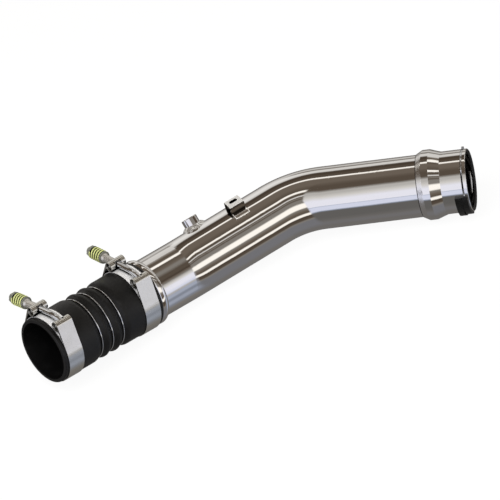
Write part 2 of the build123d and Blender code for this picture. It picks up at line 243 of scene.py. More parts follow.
floor_paint, tree, shader = principled("floor_paint", Roughness=0.9, Specular_IOR_Level=0.0)
speckle = add(tree, "ShaderNodeTexNoise")
speckle.inputs["Scale"].default_value = 3.0
speckle_range = add(tree, "ShaderNodeMapRange")
speckle_range.inputs["To Min"].default_value = PAINT_DULL
speckle_range.inputs["To Max"].default_value = PAINT_PALE
glow = add(tree, "ShaderNodeEmission")
rays = add(tree, "ShaderNodeLightPath")
seen_one = add(tree, "ShaderNodeMath", operation="MAXIMUM")
seen_two = add(tree, "ShaderNodeMath", operation="MAXIMUM")
share = add(tree, "ShaderNodeMath", operation="MULTIPLY")
share.inputs[1].default_value = GLOW_SHARE
glow.inputs["Strength"].default_value = GLOW
blend = add(tree, "ShaderNodeMixShader")
output = tree.nodes["Material Output"]
join(
    tree,
    (speckle.outputs["Fac"], speckle_range.inputs["Value"]),
    (speckle_range.outputs["Result"], shader.inputs["Base Color"]),
    (rays.outputs["Is Camera Ray"], seen_one.inputs[0]),
    (rays.outputs["Is Transmission Ray"], seen_one.inputs[1]),
    (seen_one.outputs[0], seen_two.inputs[0]),
    (rays.outputs["Is Glossy Ray"], seen_two.inputs[1]),
    (seen_two.outputs[0], share.inputs[0]),
    (share.outputs[0], blend.inputs["Fac"]),
    (shader.outputs[0], blend.inputs[1]),
    (glow.outputs[0], blend.inputs[2]),
    (blend.outputs[0], output.inputs["Surface"]),
)
floor_mesh.materials.append(floor_paint)
print("floor paint has", len(tree.nodes), "nodes")

# %% [markdown]
# ## The room in the mirror
# A mirror shows nothing of its own: all its bands are pictures of the room. So the
# room is the most important texture here. It is painted on the world as stripes
# around the left-right axis. Each entry is an angle and a paint: zero degrees is
# straight in front of the pipe, ninety is overhead, minus ninety is the floor. From
# one entry to the next the paint changes smoothly.

# %% Room stripes
LAMP = (255, 250, 242)
WINDOW = (228, 228, 238)
PALE = (226, 224, 221)
WALL = (206, 203, 199)
CLOTH = (208, 212, 230)
MIST = (166, 174, 192)
SLATE = (134, 141, 156)
PLASTER = (178, 175, 171)
STONE = (126, 121, 115)
GREY = (106, 103, 101)
TAUPE = (104, 94, 84)
BROWN = (84, 74, 64)
UMBER = (70, 60, 51)
ASH = (95, 93, 91)
HAZE = (112, 112, 116)

front_floor = [
    (-180, PLASTER), (-170, STONE), (-160, GREY), (-116, GREY), (-90, STONE), (-77, SLATE),
    (-70, MIST), (-62, MIST), (-55, SLATE), (-49, SLATE), (-42, MIST), (-34, MIST),
    (-26, PLASTER), (-18, CLOTH), (-6, WINDOW), (0, WINDOW),
]
front_top = [
    (0, WINDOW), (8, WINDOW), (18, WALL), (25, PLASTER), (31, STONE), (38, TAUPE),
    (44, UMBER), (52, BROWN), (64, BROWN), (76, STONE), (83, STONE), (90, TAUPE),
    (105, BROWN), (108, LAMP), (114, LAMP), (117, TAUPE), (124, BROWN), (129, TAUPE),
    (136, WALL), (158, WALL), (161, STONE), (168, STONE), (172, WALL), (180, PLASTER),
]
middle_floor = [
    (-180, PLASTER), (-165, GREY), (-96, GREY), (-72, HAZE), (-46, HAZE), (-39, STONE),
    (-34, BROWN), (-22, UMBER), (-19, LAMP), (-13, LAMP), (-9, BROWN), (0, TAUPE),
]
middle_top = [
    (0, TAUPE), (9, STONE), (13, LAMP), (27, LAMP), (32, STONE), (42, STONE), (47, BROWN),
    (50, STONE), (52, TAUPE), (54, BROWN), (56, WALL), (58, WALL), (60, BROWN), (67, BROWN),
    (70, LAMP), (74, LAMP), (76, BROWN), (92, TAUPE), (110, TAUPE), (113, LAMP), (116, LAMP),
    (118, BROWN), (134, UMBER), (140, UMBER), (146, WALL), (158, PALE), (174, WALL), (180, PLASTER),
]
last_floor = [
    (-180, WALL), (-168, PLASTER), (-150, GREY), (-72, GREY), (-52, ASH), (-22, ASH),
    (-18, SLATE), (-14, CLOTH), (0, CLOTH),
]
last_top = [
    (0, CLOTH), (2, CLOTH), (4, MIST), (6, WINDOW), (28, WINDOW), (42, WALL), (54, PLASTER),
    (60, PLASTER), (65, STONE), (69, BROWN), (82, BROWN), (98, TAUPE), (105, BROWN),
    (107, LAMP), (110, LAMP), (112, BROWN), (120, UMBER), (125, STONE), (130, WALL),
    (152, WALL), (157, PLASTER), (163, STONE), (169, STONE), (172, WALL), (180, WALL),
]
end_wall = [
    (-180, GREY), (-42, GREY), (-34, CLOTH), (30, WINDOW), (60, WALL), (72, PLASTER),
    (84, BROWN), (128, BROWN), (131, LAMP), (136, LAMP), (139, UMBER), (155, UMBER),
    (162, WALL), (180, WALL),
]
slices = (front_floor, front_top, middle_floor, middle_top, last_floor, last_top, end_wall)
print("entries in the stripe lists", sum(len(stops) for stops in slices))

# %% [markdown]
# The stripes could be long thin lamps around the pipe, but each would need its own
# place and would light the page too. A painted world is simpler: every direction has
# a colour. First a direction is turned into its angle around the left-right axis. The
# circle is cut in two halves, because one colour ramp holds only 32 marks.

# %% Angle of every direction
world = bpy.data.worlds.new("studio")
world.use_nodes = True
bpy.context.scene.world = world
tree = world.node_tree
tree.nodes.clear()
direction = add(tree, "ShaderNodeTexCoord")
split = add(tree, "ShaderNodeSeparateXYZ")
flip = add(tree, "ShaderNodeMath", operation="MULTIPLY")
flip.inputs[1].default_value = -1.0
angle = add(tree, "ShaderNodeMath", operation="ARCTAN2")
overhead = add(tree, "ShaderNodeMath", operation="GREATER_THAN")
overhead.inputs[1].default_value = 0.0
lower_half = add(tree, "ShaderNodeMapRange")
lower_half.inputs["From Min"].default_value = -math.pi
lower_half.inputs["From Max"].default_value = 0.0
upper_half = add(tree, "ShaderNodeMapRange")
upper_half.inputs["From Max"].default_value = math.pi
join(
    tree,
    (direction.outputs["Generated"], split.inputs[0]),
    (split.outputs["Y"], flip.inputs[0]),
    (split.outputs["Z"], angle.inputs[0]),
    (flip.outputs[0], angle.inputs[1]),
    (angle.outputs[0], overhead.inputs[0]),
    (angle.outputs[0], lower_half.inputs["Value"]),
    (angle.outputs[0], upper_half.inputs["Value"]),
)
print("nodes for the angle", len(tree.nodes))

# %% [markdown]
# Each list of stripes becomes a colour ramp over its half of the circle. Two more
# helpers are needed for what follows: one lays a picture over another where a mask
# says so, and one makes a soft step out of any measure.

# %% Stripes as colour ramps


def painted(stops, half):
    ramp = add(tree, "ShaderNodeValToRGB")
    marks = ramp.color_ramp.elements
    first = stops[0][0]
    for mark, stop in zip(marks, (stops[0], stops[-1])):
        mark.color = tone(*stop[1])
    for degrees, colour in stops[1:-1]:
        marks.new((degrees - first) / (stops[-1][0] - first)).color = tone(*colour)
    join(tree, (half.outputs["Result"], ramp.inputs["Fac"]))
    return ramp.outputs["Color"]


def layered(factor, under, over):
    node = add(tree, "ShaderNodeMix", data_type="RGBA")
    join(tree, (factor, node.inputs["Factor"]), (under, node.inputs["A"]), (over, node.inputs["B"]))
    return node.outputs["Result"]


def stripes(floor_stops, top_stops):
    return layered(overhead.outputs[0], painted(floor_stops, lower_half), painted(top_stops, upper_half))


def step(source, low, high):
    node = add(tree, "ShaderNodeMapRange", interpolation_type="SMOOTHSTEP")
    node.inputs["From Min"].default_value = low
    node.inputs["From Max"].default_value = high
    join(tree, (source, node.inputs["Value"]))
    return node.outputs["Result"]


last_slice = stripes(last_floor, last_top)
middle_slice = stripes(middle_floor, middle_top)
front_slice = stripes(front_floor, front_top)
print("world nodes with three slices", len(tree.nodes))

# %% [markdown]
# The three straight runs of the pipe point different ways, so each mirrors another
# slice of the room. A straight tube throws every glance back at one fixed angle to
# its own axis, so a slice is picked by comparing each direction with an axis taken
# part of the way round a bend. The short steps between slices become the swirls in
# the bends.

# %% Borders at the two bends


def along(way):
    node = add(tree, "ShaderNodeVectorMath", operation="DOT_PRODUCT")
    node.inputs[1].default_value = way
    join(tree, (direction.outputs["Generated"], node.inputs[0]))
    return node.outputs["Value"]


def beyond(first_way, second_way, share, softness, tip=0.0, slant=0.0, blur=0.0):
    # 1 on the side of the first run, 0 past the given share of the bend. The border
    # is an arrowhead: its tip lies at one angle and its sides lean back by the slant.
    # Towards the floor the border grows softer by the blur.
    way = first_way.lerp(second_way, share).normalized()
    off_tip = add(tree, "ShaderNodeMath", operation="SUBTRACT")
    off_tip.inputs[1].default_value = math.radians(tip)
    size = add(tree, "ShaderNodeMath", operation="ABSOLUTE")
    leaning = add(tree, "ShaderNodeMath", operation="MULTIPLY_ADD")
    leaning.inputs[1].default_value = slant
    join(
        tree,
        (angle.outputs[0], off_tip.inputs[0]),
        (off_tip.outputs[0], size.inputs[0]),
        (size.outputs[0], leaning.inputs[0]),
        (along(way), leaning.inputs[2]),
    )
    limit = -TOWARD.dot(way)
    border = step(leaning.outputs[0], limit - softness, limit + softness)
    # both ends of the step follow the angle, so they move apart towards the floor
    for end, sign in (("From Min", -1.0), ("From Max", 1.0)):
        edge = add(tree, "ShaderNodeMapRange")
        edge.inputs["From Max"].default_value = -math.pi / 2
        edge.inputs["To Min"].default_value = limit + sign * softness
        edge.inputs["To Max"].default_value = limit + sign * (softness + blur)
        join(
            tree,
            (angle.outputs[0], edge.inputs["Value"]),
            (edge.outputs["Result"], border.node.inputs[end]),
        )
    return border


large_bend = beyond(RUN, outlet_way, share=0.57, softness=0.03, tip=38.0, slant=0.15, blur=0.08)
slight_bend = beyond(hose_way, RUN, share=0.15, softness=0.03, blur=0.1)
room = layered(large_bend, last_slice, middle_slice)
room = layered(slight_bend, room, front_slice)
print("world nodes with borders", len(tree.nodes))

# %% [markdown]
# The cone at the back of the coupler looks back along the pipe, at an end wall with
# stripes of its own. They spread like the spokes of a wheel around the outlet's axis,
# so their angle is measured around that axis.

# %% End wall
END_WALL_FROM = 0.38
END_WALL_TO = 0.46
outlet_up = (SKY - outlet_way * SKY.dot(outlet_way)).normalized()
ring_angle = add(tree, "ShaderNodeMath", operation="ARCTAN2")
ring_turn = add(tree, "ShaderNodeMapRange")
ring_turn.inputs["From Min"].default_value = -math.pi
ring_turn.inputs["From Max"].default_value = math.pi
join(
    tree,
    (along(outlet_up), ring_angle.inputs[0]),
    (along(outlet_way.cross(outlet_up)), ring_angle.inputs[1]),
    (ring_angle.outputs[0], ring_turn.inputs["Value"]),
)
end_mask = step(along(-outlet_way), END_WALL_FROM, END_WALL_TO)
room = layered(end_mask, room, painted(end_wall, ring_turn))
print("world nodes with the end wall", len(tree.nodes))

# %% [markdown]
# The painted room lights the object and fills its mirrors. Camera and glass rays skip
# all this and see a plain white page behind the floor.

# %% Room and page
ROOM_STRENGTH = 1.1
room_light = add(tree, "ShaderNodeBackground")
room_light.inputs["Strength"].default_value = ROOM_STRENGTH
page_light = add(tree, "ShaderNodeBackground")
page_light.inputs["Color"].default_value = (1.0, 1.0, 1.0, 1.0)
rays = add(tree, "ShaderNodeLightPath")
seen = add(tree, "ShaderNodeMath", operation="MAXIMUM")
blend = add(tree, "ShaderNodeMixShader")
surface = add(tree, "ShaderNodeOutputWorld")
join(
    tree,
    (room, room_light.inputs["Color"]),
    (rays.outputs["Is Camera Ray"], seen.inputs[0]),
    (rays.outputs["Is Transmission Ray"], seen.inputs[1]),
    (seen.outputs[0], blend.inputs["Fac"]),
    (room_light.outputs[0], blend.inputs[1]),
    (page_light.outputs[0], blend.inputs[2]),
    (blend.outputs[0], surface.inputs["Surface"]),
)
print("world nodes", len(tree.nodes))

# %% [markdown]
# ## Soft lamps
# Two large area lamps give the plain light of a small-parts studio: a key from above
# on the left and a weaker fill from the right. Their image would cut a hard
# rectangle into the mirror, which already has its painted room, so they are hidden
# from reflections.

# %% Area lamps


def soft_lamp(name, place, size, watts):
    data = bpy.data.lights.new(name, "AREA")
    data.shape = "SQUARE"
    data.size = size
    data.energy = watts
    lamp = bpy.data.objects.new(name, data)
    lamp.location = place
    lamp.rotation_euler = (-Vector(place)).to_track_quat("-Z", "Y").to_euler()
    lamp.visible_glossy = False
    bpy.context.scene.collection.objects.link(lamp)
    return lamp


key = soft_lamp("key", place=(-0.5, -0.5, 1.4), size=1.1, watts=15.0)
fill = soft_lamp("fill", place=(0.9, -1.1, 0.9), size=1.2, watts=6.0)
print("lamps", key.name, fill.name)

# %% [markdown]
# ## Effects shared by several materials
# A node group is a reusable effect with sockets of its own, built once and placed in
# many materials. The groups here return only masks and heights, and each material
# decides what to do with them. The helpers start a group, add a noise, and stretch a
# range of values into a mask.

# %% Group helpers


def new_group(name, inputs, outputs):
    group = bpy.data.node_groups.new(name, "ShaderNodeTree")
    for label, value in inputs:
        socket = group.interface.new_socket(label, in_out="INPUT", socket_type="NodeSocketFloat")
        socket.default_value = value
    for label in outputs:
        group.interface.new_socket(label, in_out="OUTPUT", socket_type="NodeSocketFloat")
    return group, add(group, "NodeGroupInput"), add(group, "NodeGroupOutput")


def noise(tree, vector, scale, detail=2.0, rough=0.5):
    # the scale is a number, or a socket where a group hands it in
    node = add(tree, "ShaderNodeTexNoise")
    node.inputs["Detail"].default_value = detail
    node.inputs["Roughness"].default_value = rough
    join(tree, (vector, node.inputs["Vector"]))
    if isinstance(scale, float):
        node.inputs["Scale"].default_value = scale
    else:
        join(tree, (scale, node.inputs["Scale"]))
    return node.outputs["Fac"]


def ranged(tree, value, low, high, out_low=0.0, out_high=1.0):
    node = add(tree, "ShaderNodeMapRange")
    node.inputs["From Min"].default_value = low
    node.inputs["From Max"].default_value = high
    node.inputs["To Min"].default_value = out_low
    node.inputs["To Max"].default_value = out_high
    join(tree, (value, node.inputs["Value"]))
    return node.outputs["Result"]


print("helpers for groups are ready")

# %% [markdown]
# `surface_marks` gives the uneven gloss of handled metal: a cloudy haze, long shallow
# waves, and fine scratches. A scratch could be drawn as a curve, but there are too
# many, so each is a speck of noise stretched far along one axis. Two such layers at
# different angles cross each other.

# %% Handling marks group
marks, marks_in, marks_out = new_group("surface_marks", [("Size", 1.0)], ["Haze", "Scratches", "Waves"])
coordinates = add(marks, "ShaderNodeTexCoord").outputs["Object"]
sized = add(marks, "ShaderNodeVectorMath", operation="SCALE")
join(marks, (coordinates, sized.inputs[0]), (marks_in.outputs["Size"], sized.inputs["Scale"]))
place = sized.outputs["Vector"]
long_way = add(marks, "ShaderNodeMapping")
long_way.inputs["Rotation"].default_value = (0.3, 0.2, -0.15)
long_way.inputs["Scale"].default_value = (14.0, 900.0, 900.0)
join(marks, (place, long_way.inputs["Vector"]))
cross_way = add(marks, "ShaderNodeMapping")
cross_way.inputs["Rotation"].default_value = (0.1, 0.7, 0.5)
cross_way.inputs["Scale"].default_value = (1100.0, 22.0, 1100.0)
join(marks, (place, cross_way.inputs["Vector"]))
long_noise = noise(marks, long_way.outputs[0], scale=1.0, detail=1.0)
cross_noise = noise(marks, cross_way.outputs[0], scale=1.0, detail=1.0)
clouds = noise(marks, place, scale=45.0, detail=4.0)
lines = add(marks, "ShaderNodeMath", operation="MAXIMUM")
join(
    marks,
    (ranged(marks, long_noise, low=0.66, high=0.74), lines.inputs[0]),
    (ranged(marks, cross_noise, low=0.69, high=0.76), lines.inputs[1]),
    (lines.outputs[0], marks_out.inputs["Scratches"]),
    (ranged(marks, clouds, low=0.35, high=0.7), marks_out.inputs["Haze"]),
    (noise(marks, place, scale=28.0, detail=1.0), marks_out.inputs["Waves"]),
)
print("group", marks.name, "has", len(marks.nodes), "nodes")

# %% [markdown]
# Little light gets into gaps, so several materials paint shade there. The Ambient
# Occlusion node measures how much of its surroundings a point can see. This group turns
# that into a mask for painted shade, 0 deep in a gap and 1 on open faces. A second group
# looks at the piece alone, and far enough to tell the bore of a tube from its outside.

# %% Groups for gaps and bores


def daylight_group(name, alone):
    inputs = [("Reach", 0.006), ("Shut", 0.35), ("Open", 0.8)]
    group, entry, result = new_group(name, inputs, ["Daylight"])
    sight = add(group, "ShaderNodeAmbientOcclusion", samples=8, only_local=alone)
    mask = add(group, "ShaderNodeMapRange")
    join(
        group,
        (entry.outputs["Reach"], sight.inputs["Distance"]),
        (entry.outputs["Shut"], mask.inputs["From Min"]),
        (entry.outputs["Open"], mask.inputs["From Max"]),
        (sight.outputs["AO"], mask.inputs["Value"]),
        (mask.outputs["Result"], result.inputs["Daylight"]),
    )
    return group


gaps = daylight_group("gaps", alone=False)
bore = daylight_group("bore", alone=True)
print("groups", gaps.name, bore.name)

# %% [markdown]
# A few nodes return in nearly every material: a group with its values, a bump, a
# rounded corner, a mask for gaps, and a mix of two colours by a mask. The mix serves
# both painted shade and wear.
# The Bevel node rounds only the shading of a corner, by a fraction of a millimetre,
# so edges glint without any change of shape.

# %% Material helpers


def grouped(tree, group, **inputs):
    node = add(tree, "ShaderNodeGroup", node_tree=group)
    for label, value in inputs.items():
        node.inputs[label].default_value = value
    return node


def bumped(tree, height, strength, distance, normal=None):
    node = add(tree, "ShaderNodeBump")
    node.inputs["Strength"].default_value = strength
    node.inputs["Distance"].default_value = distance
    join(tree, (height, node.inputs["Height"]))
    if normal is not None:
        join(tree, (normal, node.inputs["Normal"]))
    return node.outputs["Normal"]


def rounded(tree, radius):
    node = add(tree, "ShaderNodeBevel", samples=4)
    node.inputs["Radius"].default_value = radius
    return node.outputs["Normal"]


def daylight(tree, group, **limits):
    return grouped(tree, group, **limits).outputs["Daylight"]


# mixes two colours by a mask: painted shade in most materials, wear on the coats
def shade_and_wear_tint(tree, mask, dark, light):
    node = add(tree, "ShaderNodeMix", data_type="RGBA")
    node.inputs["A"].default_value = tone(*dark)
    node.inputs["B"].default_value = tone(*light)
    join(tree, (mask, node.inputs["Factor"]))
    return node.outputs["Result"]


print("helpers for materials are ready")

# %% [markdown]
# ## Mirror-polished aluminium
# Polished metal is nearly all reflection. Three faint things keep it real: the haze
# changes the gloss a little, hairline scratches catch light, and long shallow waves
# from the buffing wheel bend the reflected stripes. The long tube does without the
# rounded corners, because its three lengths meet end to end and must look like one.
# Two masks paint shade into the colour where little light gets in: narrow gaps, and the bore.

# %% Polished tube material
# the colour of painted shade in gaps and in the bore
POLISHED_SHADE = (20, 19, 18)
SCRATCH_WEAR = 1.5


def polished(name, colour, gloss, haze, edge=None):
    material, tree, shader = principled(name, Metallic=1.0)
    effect = grouped(tree, marks)
    open_air = add(tree, "ShaderNodeMath", operation="MINIMUM")
    rough = ranged(tree, effect.outputs["Haze"], 0.0, 1.0, gloss, gloss + haze)
    worn = add(tree, "ShaderNodeMath", operation="MULTIPLY_ADD")
    worn.inputs[1].default_value = haze * SCRATCH_WEAR
    corner = rounded(tree, edge) if edge else None
    normal = bumped(tree, effect.outputs["Waves"], strength=0.09, distance=0.002, normal=corner)
    normal = bumped(tree, effect.outputs["Scratches"], strength=0.08, distance=0.00005, normal=normal)
    join(
        tree,
        (daylight(tree, gaps, Reach=0.006, Shut=0.1, Open=0.45), open_air.inputs[0]),
        (daylight(tree, bore, Reach=0.1, Shut=0.3, Open=0.75), open_air.inputs[1]),
        (shade_and_wear_tint(tree, open_air.outputs[0], POLISHED_SHADE, colour), shader.inputs["Base Color"]),
        (effect.outputs["Scratches"], worn.inputs[0]),
        (rough, worn.inputs[2]),
        (worn.outputs[0], shader.inputs["Roughness"]),
        (normal, shader.inputs["Normal"]),
    )
    return material


ALUMINIUM = (244, 243, 242)
tube_metal = polished("polished_tube", ALUMINIUM, gloss=0.02, haze=0.03)
fitting_metal = polished("polished_fitting", ALUMINIUM, gloss=0.03, haze=0.03, edge=0.0003)
dress(tube_metal, "charge_tube", "elbow_tube", "outlet_tube")
dress(fitting_metal, "port_bung", "stop_ring", "bung_weld")
print("mirrors", tube_metal.name, fitting_metal.name)

# %% [markdown]
# The coupler is pressed onto the end of the tube. A fine dark line marks its rear
# edge, and the cone behind that edge keeps a softer polish from the tool that formed
# it. Both follow from one measure, how far a point lies from the rear edge along the
# outlet, so two masks on the coupler's own copy of the finish make them.

# %% Coupler finish
SEAM_DARK = (52, 48, 44)
SEAM_FROM = 0.5
SEAM_TO = 1.0
CONE_FROM = 5.2
CONE_TO = 6.4
CONE_GLOSS = 0.24
coupler_metal = polished("polished_coupler", ALUMINIUM, gloss=0.03, haze=0.03, edge=0.0003)
tree = coupler_metal.node_tree
shader = tree.nodes["Principled BSDF"]
body = nodes["coupler_body"]
outlet_axis = (body.matrix_world.inverted().to_3x3() @ outlet_way).normalized()
rear_edge = min(corner.co.dot(outlet_axis) for corner in body.data.vertices)
depth = add(tree, "ShaderNodeVectorMath", operation="DOT_PRODUCT")
depth.inputs[1].default_value = outlet_axis
from_edge = depth.outputs["Value"]
seam_mask = ranged(tree, from_edge, rear_edge + SEAM_FROM * MM, rear_edge + SEAM_TO * MM)
cone_mask = ranged(tree, from_edge, rear_edge + CONE_FROM * MM, rear_edge + CONE_TO * MM)
seam = add(tree, "ShaderNodeMix", data_type="RGBA")
seam.inputs["A"].default_value = tone(*SEAM_DARK)
softer = add(tree, "ShaderNodeMix", data_type="FLOAT")
softer.inputs["A"].default_value = CONE_GLOSS
join(
    tree,
    (add(tree, "ShaderNodeTexCoord").outputs["Object"], depth.inputs[0]),
    (seam_mask, seam.inputs["Factor"]),
    (shader.inputs["Base Color"].links[0].from_socket, seam.inputs["B"]),
    (seam.outputs["Result"], shader.inputs["Base Color"]),
    (cone_mask, softer.inputs["Factor"]),
    (shader.inputs["Roughness"].links[0].from_socket, softer.inputs["B"]),
    (softer.outputs["Result"], shader.inputs["Roughness"]),
)
dress(coupler_metal, "coupler_body")
print("rear edge of the coupler at", round(rear_edge / MM, 1), "mm along the outlet")

# %% [markdown]
# ## Stainless steel
# The clamp bands are rolled strip: bright, but with a fine grain that spreads the
# light. Bolts, rings and sleeves are smoother, and the bridge is pale and dull. One
# function serves them all, with its own gloss, grain and reach of painted shade for
# each. In the gaps the `gaps` mask paints shade, taking the colour down towards black.

# %% Clamp steel materials
# the colour of painted shade in the gaps of the steel parts, the weld and the brazing
GAP_SHADE = (34, 33, 32)
STRIP_SIZE = 1.6


def satin(name, colour, metal, gloss, grain, reach):
    material, tree, shader = principled(name, Metallic=metal)
    effect = grouped(tree, marks, Size=STRIP_SIZE)
    rough = ranged(tree, effect.outputs["Haze"], 0.0, 1.0, gloss, gloss + 0.06)
    normal = bumped(tree, effect.outputs["Scratches"], grain, 0.0001, rounded(tree, 0.00025))
    open_face = daylight(tree, gaps, Reach=reach)
    join(
        tree,
        (shade_and_wear_tint(tree, open_face, GAP_SHADE, colour), shader.inputs["Base Color"]),
        (rough, shader.inputs["Roughness"]),
        (normal, shader.inputs["Normal"]),
    )
    return material


band_steel = satin("band_steel", (238, 237, 231), metal=1.0, gloss=0.18, grain=0.05, reach=0.006)
bridge_steel = satin("bridge_steel", (248, 248, 248), metal=0.25, gloss=0.2, grain=0.04, reach=0.003)
bolt_steel = satin("bolt_steel", (238, 240, 243), metal=1.0, gloss=0.08, grain=0.04, reach=0.006)
sleeve_steel = satin("sleeve_steel", (216, 213, 206), metal=0.7, gloss=0.2, grain=0.04, reach=0.005)
thread_steel = satin("thread_steel", (120, 118, 114), metal=1.0, gloss=0.3, grain=0.1, reach=0.002)
for end in ("front", "rear"):
    dress(band_steel, "band_" + end)
    dress(bridge_steel, "bridge_" + end)
    dress(bolt_steel, "t_bolt_" + end, "trunnion_" + end)
    dress(sleeve_steel, "sleeve_" + end)
dress(bolt_steel, "hose_ring_1", "hose_ring_2", "hose_ring_3", "wire_clip")
print("steels", band_steel.name, bridge_steel.name, bolt_steel.name)

# %% [markdown]
# The bracket is folded sheet. Its top is painted pale, a painted light from above, and
# its sides a dark brown that is a painted reflection; the top is also less metallic and
# rougher. One mask chooses between them: the height of the surface normal, near one on
# the top only. Inside, the gaps mask paints shade towards almost black.

# %% Bracket material
# pale top: painted light; dark brown sides: painted reflection; corner colour: painted shade inside
SIDE_PAINTED_REFLECTION = (88, 80, 72)
TOP_PAINTED_LIGHT = (228, 227, 223)
CORNER_SHADE = (12, 11, 10)

bracket_steel, tree, shader = principled("bracket_steel")
facing_up = add(tree, "ShaderNodeSeparateXYZ")
join(tree, (add(tree, "ShaderNodeNewGeometry").outputs["Normal"], facing_up.inputs[0]))
top = ranged(tree, facing_up.outputs["Z"], 0.85, 0.97)
effect = grouped(tree, marks, Size=STRIP_SIZE)
painted_light_tint = shade_and_wear_tint(tree, top, SIDE_PAINTED_REFLECTION, TOP_PAINTED_LIGHT)
open_parts = add(tree, "ShaderNodeMix", data_type="RGBA")
open_parts.inputs["A"].default_value = tone(*CORNER_SHADE)
brushed = bumped(tree, effect.outputs["Scratches"], 0.06, 0.0001, rounded(tree, 0.0002))
join(
    tree,
    (daylight(tree, gaps, Reach=0.008, Shut=0.45, Open=0.8), open_parts.inputs["Factor"]),
    (painted_light_tint, open_parts.inputs["B"]),
    (open_parts.outputs["Result"], shader.inputs["Base Color"]),
    (ranged(tree, top, 0.0, 1.0, out_low=1.0, out_high=0.2), shader.inputs["Metallic"]),
    (ranged(tree, top, 0.0, 1.0, out_low=0.12, out_high=0.36), shader.inputs["Roughness"]),
    (brushed, shader.inputs["Normal"]),
)
dress(bracket_steel, "bracket")
print("bracket", bracket_steel.name)

# %% [markdown]
# ## Silicone hose
# The hose is wrapped in cloth while it cures, which prints a faint weave on the
# rubber. Two wave textures crossed at right angles make the print: one counts along
# the hose, the other around it. The round count needs an angle, so the group first
# turns positions into the hose's own frame.

# %% Weave group
THREADS_AROUND = 220.0
THREADS_ALONG = 6200.0

weave, _, weave_out = new_group("cloth_print", [], ["Weave", "Scuffs"])
coordinates = add(weave, "ShaderNodeTexCoord").outputs["Object"]
shifted = add(weave, "ShaderNodeVectorMath", operation="SUBTRACT")
shifted.inputs[1].default_value = HOSE.translation
join(weave, (coordinates, shifted.inputs[0]))


def component(axis):
    node = add(weave, "ShaderNodeVectorMath", operation="DOT_PRODUCT")
    node.inputs[1].default_value = axis
    join(weave, (shifted.outputs[0], node.inputs[0]))
    return node.outputs["Value"]


side, front, length_way = (component(HOSE.to_3x3().col[k]) for k in range(3))
around = add(weave, "ShaderNodeMath", operation="ARCTAN2")
join(weave, (side, around.inputs[0]), (front, around.inputs[1]))


def thread(value, count):
    scaled = add(weave, "ShaderNodeMath", operation="MULTIPLY")
    scaled.inputs[1].default_value = count
    wave = add(weave, "ShaderNodeMath", operation="SINE")
    join(weave, (value, scaled.inputs[0]), (scaled.outputs[0], wave.inputs[0]))
    return wave.outputs[0]


crossed = add(weave, "ShaderNodeMath", operation="MULTIPLY")
join(
    weave,
    (thread(around.outputs[0], THREADS_AROUND), crossed.inputs[0]),
    (thread(length_way, THREADS_ALONG), crossed.inputs[1]),
    (crossed.outputs[0], weave_out.inputs["Weave"]),
    (ranged(weave, noise(weave, coordinates, 60.0, 5.0, 0.6), 0.5, 0.75), weave_out.inputs["Scuffs"]),
)
print("group", weave.name, "has", len(weave.nodes), "nodes")

# %% [markdown]
# The rubber itself is nearly black, with paler scuffs. Little light reaches the
# grooves between the humps, so the gaps mask paints shade into them. Two bumps lie
# on each other: the print of the cloth, and a grain much finer than the threads.

# %% Hose material
RUBBER = (14, 14, 14)
SCUFFED = (23, 23, 23)
# painted shade in the grooves between the humps
GROOVE_SHADE = (5, 5, 5)
RUBBER_GRAIN = 2200.0

hose_rubber, tree, shader = principled("silicone", Specular_IOR_Level=0.4)
effect = grouped(tree, weave)
shade = add(tree, "ShaderNodeMix", data_type="RGBA")
shade.inputs["A"].default_value = tone(*RUBBER)
shade.inputs["B"].default_value = tone(*SCUFFED)
groove_shading = add(tree, "ShaderNodeMix", data_type="RGBA")
groove_shading.inputs["A"].default_value = tone(*GROOVE_SHADE)
grain = add(tree, "ShaderNodeTexNoise")
grain.inputs["Scale"].default_value = RUBBER_GRAIN
printed = bumped(tree, effect.outputs["Weave"], strength=0.25, distance=0.0002)
join(
    tree,
    (effect.outputs["Scuffs"], shade.inputs["Factor"]),
    (daylight(tree, gaps, Reach=0.012, Shut=0.5, Open=0.95), groove_shading.inputs["Factor"]),
    (shade.outputs["Result"], groove_shading.inputs["B"]),
    (groove_shading.outputs["Result"], shader.inputs["Base Color"]),
    (ranged(tree, effect.outputs["Scuffs"], 0.0, 1.0, 0.38, 0.52), shader.inputs["Roughness"]),
    (bumped(tree, grain.outputs["Fac"], 0.15, 0.0002, normal=printed), shader.inputs["Normal"]),
)
dress(hose_rubber, "hump_hose")
print("hose", hose_rubber.name)

# %% [markdown]
# ## Coated springs and nuts
# The springs carry a yellow-green coating, rubbed duller in patches. The gaps mask
# paints shade into the room between the turns, so each turn reads by itself even in a
# small picture. The nuts have a dull grey-olive finish. Both wear alike, so one group
# makes the patches and the grit, and each material gives it the size of its own speckle.

# %% Coat wear group
FINER = 3.0
coat_wear, wear_in, wear_out = new_group("coat_wear", [("Speckle", 160.0)], ["Patches", "Grit"])
space = add(coat_wear, "ShaderNodeTexCoord").outputs["Object"]
blotches = noise(coat_wear, space, wear_in.outputs["Speckle"], 4.0, 0.65)
finer = add(coat_wear, "ShaderNodeMath", operation="MULTIPLY")
finer.inputs[1].default_value = FINER
join(
    coat_wear,
    (wear_in.outputs["Speckle"], finer.inputs[0]),
    (ranged(coat_wear, blotches, 0.52, 0.72), wear_out.inputs["Patches"]),
    (noise(coat_wear, space, finer.outputs[0]), wear_out.inputs["Grit"]),
)
print("group", coat_wear.name, "has", len(coat_wear.nodes), "nodes")

# %% [markdown]
# One function makes both coats. The value `shut` says how little of its surroundings
# a point may see before its colour is painted quite dark. The springs have a high one,
# so that painted shade fills the narrow room between two turns, and the nuts a low one.

# %% Spring and nut materials
LIME = (226, 233, 152)
DULL_LIME = (208, 216, 138)
OLIVE_GREY = (160, 162, 150)
DARK_OLIVE = (128, 130, 120)
SHADOW_SHARE = 0.1


